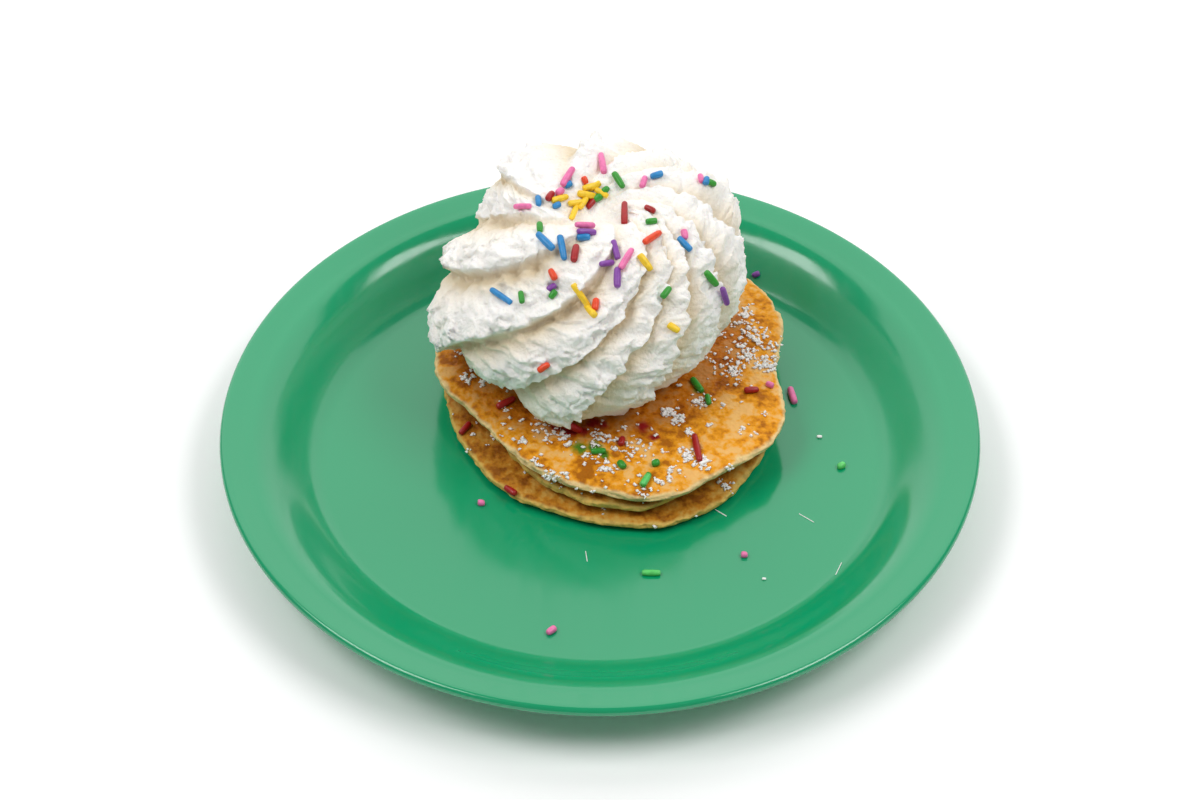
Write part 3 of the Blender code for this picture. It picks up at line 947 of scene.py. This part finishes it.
def make_stage(settings):
    """Floor, soft lights, plain surroundings and the camera."""
    scene = bpy.context.scene
    bpy.ops.mesh.primitive_plane_add(size=FLOOR_SIZE, location=(0.0, 0.0, 0.0))
    floor = bpy.context.object
    floor.name = "studio_floor"
    floor.data.materials.append(paper_material(settings.floor))
    add_light("back_wall", BACK_WALL_PLACE, BACK_WALL_SIZE, settings.back_power)
    across, along_floor, height = SOFTBOX_PLACE
    for name, side in (("left", -1.0), ("right", 1.0)):
        place = (side * across, along_floor, height)
        add_light(name + "_softbox", place, SOFTBOX_SIZE, settings.side_power)
    world = bpy.data.worlds.new("plain_surroundings")
    world.use_nodes = True
    background = world.node_tree.nodes["Background"]
    background.inputs["Color"].default_value = (*settings.world, 1.0)
    background.inputs["Strength"].default_value = settings.ambient
    scene.world = world
    camera = bpy.data.cameras.new("camera")
    camera.lens = LENS
    camera.sensor_width = SENSOR_WIDTH
    eye = bpy.data.objects.new("camera", camera)
    pitch = math.radians(settings.camera_elevation)
    back = Vector((0.0, -math.cos(pitch), math.sin(pitch)))
    eye.location = CAMERA_TARGET + back * settings.camera_distance
    eye.rotation_euler = (-back).to_track_quat("-Z", "Y").to_euler()
    scene.collection.objects.link(eye)
    scene.camera = eye
    scene.view_settings.view_transform = "Standard"


# ---------------------------------------------------------------- settings, operators, panel


def colour_setting(name, description, code):
    return FloatVectorProperty(
        name=name, description=description, default=srgb(code), subtype="COLOR", min=0.0, max=1.0
    )


class PlateSettings(bpy.types.PropertyGroup):
    colour: colour_setting("Colour", "Colour of the moulded plastic", "059764")
    steps: IntProperty(name="Steps", description="Steps round the plate", default=224, min=24)


class PancakeSettings(bpy.types.PropertyGroup):
    browned: colour_setting("Browned skin", "Colour of the griddled faces", "ec9f1e")
    pale: colour_setting("Pale edge", "Colour of the batter at the sides", "efcf92")
    # Colours of the lower pancakes are darker, partly browner batter and partly painted shade.
    lower_browned_and_shaded: colour_setting("Lower browned skin", "Faces of the lower pancakes", "c68526")
    lower_pale_and_shaded: colour_setting("Lower pale edge", "Sides of the lower pancakes", "dab55f")
    columns: IntProperty(name="Columns", description="Points round a pancake", default=420, min=24)
    rings: IntProperty(name="Rings", description="Rings from top to bottom", default=110, min=12)


class CreamSettings(bpy.types.PropertyGroup):
    colour: colour_setting("Colour", "Colour of the cream", "fbf8f3")
    columns: IntProperty(name="Columns", description="Points round the swirl", default=440, min=96)
    rings: IntProperty(name="Rings", description="Rings from top to bottom", default=220, min=30)


class SprinkleSettings(bpy.types.PropertyGroup):
    pink: colour_setting("Pink", "Colour of the pink sprinkles", SPRINKLE_COLOURS["pink"])
    purple: colour_setting("Purple", "Colour of the purple sprinkles", SPRINKLE_COLOURS["purple"])
    blue: colour_setting("Blue", "Colour of the blue sprinkles", SPRINKLE_COLOURS["blue"])
    green: colour_setting("Green", "Colour of the green sprinkles", SPRINKLE_COLOURS["green"])
    # A lighter green for some green sprinkles, as a painted highlight.
    lime: colour_setting("Lime", "Colour of the light green sprinkles", SPRINKLE_COLOURS["lime"])
    yellow: colour_setting("Yellow", "Colour of the yellow sprinkles", SPRINKLE_COLOURS["yellow"])
    orange: colour_setting("Orange", "Colour of the orange sprinkles", SPRINKLE_COLOURS["orange"])
    red: colour_setting("Red", "Colour of the red sprinkles", SPRINKLE_COLOURS["red"])


class SugarSettings(bpy.types.PropertyGroup):
    colour: colour_setting("Colour", "Colour of the sugar", "fffdfa")
    amount: FloatProperty(name="Amount", description="Share of the grains", default=0.65, min=0.0)
    grain_sizes: FloatVectorProperty(
        name="Grain sizes", description="Smallest and largest clump", size=2,
        default=(0.6 * MM, 1.6 * MM), unit="LENGTH",
    )


class StageSettings(bpy.types.PropertyGroup):
    floor: colour_setting("Floor", "Colour of the floor", "ffffff")
    world: colour_setting("Surroundings", "Colour of the surroundings", "ffffff")
    ambient: FloatProperty(name="Ambient", description="Light from all round", default=0.25, min=0.0)
    back_power: FloatProperty(
        name="Back wall", description="Power of the lit wall behind", default=53.0, min=0.0,
        unit="POWER",
    )
    side_power: FloatProperty(
        name="Side softboxes", description="Power of each light at the side", default=9.6, min=0.0,
        unit="POWER",
    )
    camera_elevation: FloatProperty(
        name="Camera elevation", description="Degrees above the horizon", default=44.39
    )
    camera_distance: FloatProperty(
        name="Camera distance", description="From the look-at point", default=1.0, unit="LENGTH"
    )


class PANCAKES_OT_plate(bpy.types.Operator):
    """Make the melamine plate"""

    bl_idname = "pancakes.make_plate"
    bl_label = "Make plate"

    def execute(self, context):
        make_plate(context.scene.pancakes_plate)
        return {"FINISHED"}


class PANCAKES_OT_pancakes(bpy.types.Operator):
    """Make the three pancakes"""

    bl_idname = "pancakes.make_pancakes"
    bl_label = "Make pancakes"

    def execute(self, context):
        for seed, node in enumerate(("pancake_bottom", "pancake_middle", "pancake_top")):
            make_pancake(node, seed + 1.0, context.scene.pancakes_pancake)
        return {"FINISHED"}


class PANCAKES_OT_cream(bpy.types.Operator):
    """Make the swirl of whipped cream"""

    bl_idname = "pancakes.make_cream"
    bl_label = "Make whipped cream"

    def execute(self, context):
        make_cream(context.scene.pancakes_cream)
        return {"FINISHED"}


class PANCAKES_OT_sprinkles(bpy.types.Operator):
    """Lay the coloured sprinkles"""

    bl_idname = "pancakes.make_sprinkles"
    bl_label = "Make sprinkles"

    def execute(self, context):
        make_sprinkles(context.scene.pancakes_sprinkles)
        return {"FINISHED"}


class PANCAKES_OT_sugar(bpy.types.Operator):
    """Dust the powdered sugar and drop the crumbs"""

    bl_idname = "pancakes.make_sugar"
    bl_label = "Make sugar"

    def execute(self, context):
        make_sugar(context.scene.pancakes_sugar)
        return {"FINISHED"}


class PANCAKES_OT_stage(bpy.types.Operator):
    """Make the floor, lights and camera"""

    bl_idname = "pancakes.make_stage"
    bl_label = "Make stage"

    def execute(self, context):
        make_stage(context.scene.pancakes_stage)
        return {"FINISHED"}


STEPS = (
    PANCAKES_OT_plate, PANCAKES_OT_pancakes, PANCAKES_OT_cream, PANCAKES_OT_sprinkles,
    PANCAKES_OT_sugar, PANCAKES_OT_stage,
)
GROUPS = {
    "pancakes_plate": PlateSettings,
    "pancakes_pancake": PancakeSettings,
    "pancakes_cream": CreamSettings,
    "pancakes_sprinkles": SprinkleSettings,
    "pancakes_sugar": SugarSettings,
    "pancakes_stage": StageSettings,
}


class PANCAKES_PT_panel(bpy.types.Panel):
    """Lists the steps with their settings"""

    bl_idname = "PANCAKES_PT_panel"
    bl_label = "Pancake stack"
    bl_space_type = "VIEW_3D"
    bl_region_type = "UI"
    bl_category = "Pancakes"

    def draw(self, context):
        for name, group in GROUPS.items():
            box = self.layout.box()
            for key in group.__annotations__:
                box.prop(getattr(context.scene, name), key)
        for step in STEPS:
            self.layout.operator(step.bl_idname)


def register():
    for group in GROUPS.values():
        bpy.utils.register_class(group)
    for name, group in GROUPS.items():
        setattr(bpy.types.Scene, name, PointerProperty(type=group))
    for step in (*STEPS, PANCAKES_PT_panel):
        bpy.utils.register_class(step)


def unregister():
    for step in (*STEPS, PANCAKES_PT_panel):
        bpy.utils.unregister_class(step)
    for name, group in GROUPS.items():
        delattr(bpy.types.Scene, name)
        bpy.utils.unregister_class(group)


def main():
    register()
    bpy.ops.pancakes.make_plate()
    bpy.ops.pancakes.make_pancakes()
    bpy.ops.pancakes.make_cream()
    bpy.ops.pancakes.make_sprinkles()
    bpy.ops.pancakes.make_sugar()
    bpy.ops.pancakes.make_stage()


if __name__ == "__main__":
    main()
